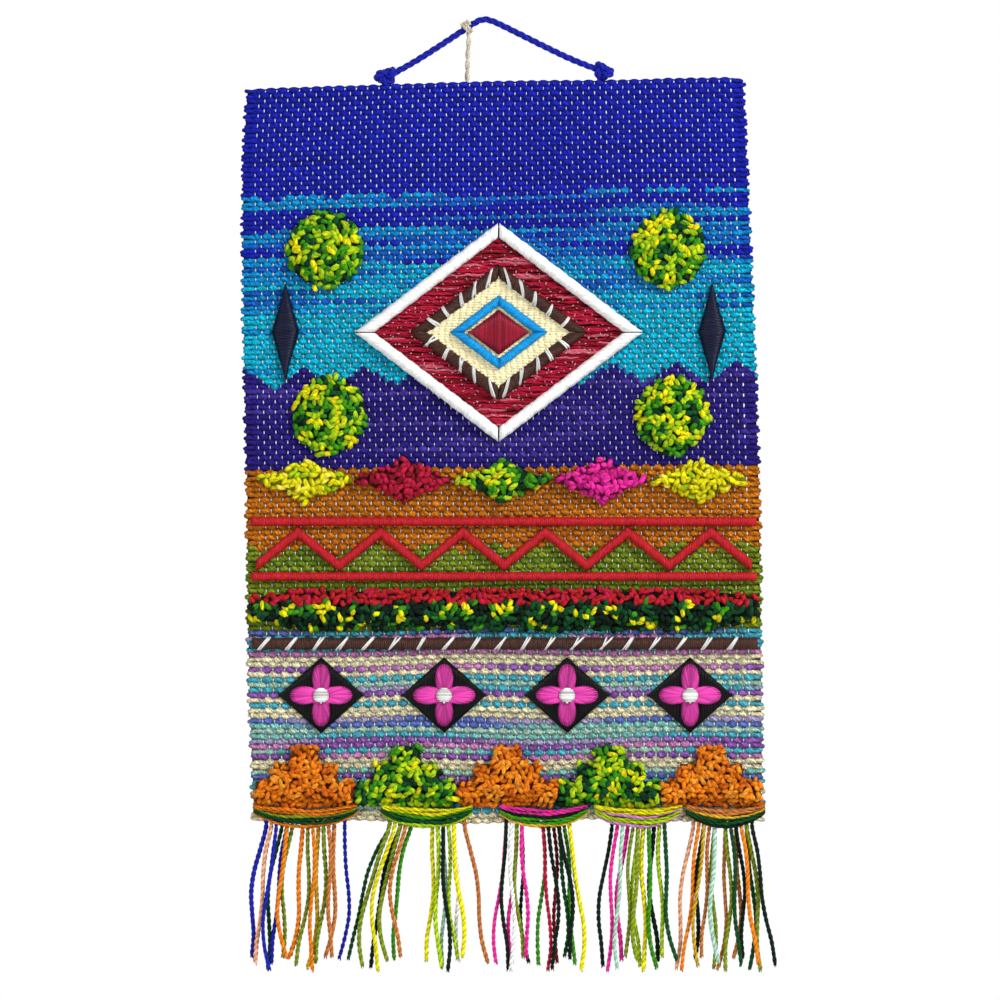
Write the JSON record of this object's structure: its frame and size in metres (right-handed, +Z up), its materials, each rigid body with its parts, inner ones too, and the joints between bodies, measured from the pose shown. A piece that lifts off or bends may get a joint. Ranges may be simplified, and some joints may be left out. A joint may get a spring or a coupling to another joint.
{
  "type": "woven wall hanging",
  "caption": "small hand-woven yarn wall hanging with raised embroidery in geometric and flower motifs, a yarn fringe along the bottom edge and a twisted hanging cord at the top",
  "frame": {"origin": "middle of the cloth's top edge, where the hanging cord takes hold", "axes": "+Z up the cloth, +X to the viewer's right, the front faces -Y and the back towards the wall +Y"},
  "size_m": [0.3113, 0.0226, 0.555],
  "materials": {
    "cloth": "matte, thick weft yarn in bands of colour",
    "white_wrap": "soft sheen, fine thread wound round a padded core",
    "crimson_stitch": "matte long stitches of crimson yarn",
    "brown_wrap": "sheen, dark brown thread with white lashings",
    "cream_chain": "matte cream chain stitch",
    "cyan_wrap": "sheen, wound cyan thread",
    "rosette_pile": "matte looped pile, green and yellow",
    "navy_satin": "satin stitch, dark blue",
    "yellow_pile": "matte looped pile, yellow",
    "crimson_pile": "matte looped pile, crimson",
    "magenta_pile": "matte looped pile, magenta",
    "coral_wrap": "sheen, wound coral thread",
    "band_pile": "matte looped pile, dark green and lime",
    "black_satin": "satin stitch, black",
    "magenta_satin": "satin stitch, magenta",
    "white_satin": "satin stitch, white",
    "orange_pile": "matte looped pile, orange",
    "fringe_yarn": "matte loose yarn in many colours",
    "cord_yarn": "matte twisted blue yarn",
    "twine": "matte natural twine"
  },
  "bodies": {
    "root": {"blue_bar_lower_left": "cyan_wrap", "blue_bar_lower_right": "cyan_wrap", "blue_bar_upper_left": "cyan_wrap", "blue_bar_upper_right": "cyan_wrap", "brown_bar_lower_left": "brown_wrap", "brown_bar_lower_right": "brown_wrap", "brown_bar_upper_left": "brown_wrap", "brown_bar_upper_right": "brown_wrap", "brown_rail": "brown_wrap", "centre_lozenge": "crimson_stitch", "cloth": "cloth", "coral_rail_lower": "coral_wrap", "coral_rail_upper": "coral_wrap", "coral_zigzag": "coral_wrap", "cream_field": "cream_chain", "flower_1_button": "white_satin", "flower_1_ground": "black_satin", "flower_1_petals": "magenta_satin", "flower_2_button": "white_satin", "flower_2_ground": "black_satin", "flower_2_petals": "magenta_satin", "flower_3_button": "white_satin", "flower_3_ground": "black_satin", "flower_3_petals": "magenta_satin", "flower_4_button": "white_satin", "flower_4_ground": "black_satin", "flower_4_petals": "magenta_satin", "fringe_1": "fringe_yarn", "fringe_2": "fringe_yarn", "fringe_3": "fringe_yarn", "fringe_4": "fringe_yarn", "fringe_5": "fringe_yarn", "garland_1": "yellow_pile", "garland_2": "crimson_pile", "garland_3": "rosette_pile", "garland_4": "magenta_pile", "garland_5": "yellow_pile", "hanging_cord": "cord_yarn", "pile_band": "band_pile", "knot_left": "cord_yarn", "knot_right": "cord_yarn", "navy_lozenge_left": "navy_satin", "navy_lozenge_right": "navy_satin", "red_field": "crimson_stitch", "rosette_1": "rosette_pile", "rosette_2": "rosette_pile", "rosette_3": "rosette_pile", "rosette_4": "rosette_pile", "step_1": "orange_pile", "step_2": "rosette_pile", "step_3": "orange_pile", "step_4": "rosette_pile", "step_5": "orange_pile", "twine_hitch": "twine", "twine_tail": "twine", "white_edge_lower_left": "white_wrap", "white_edge_lower_right": "white_wrap", "white_edge_upper_left": "white_wrap", "white_edge_upper_right": "white_wrap"}
  },
  "joints": []
}
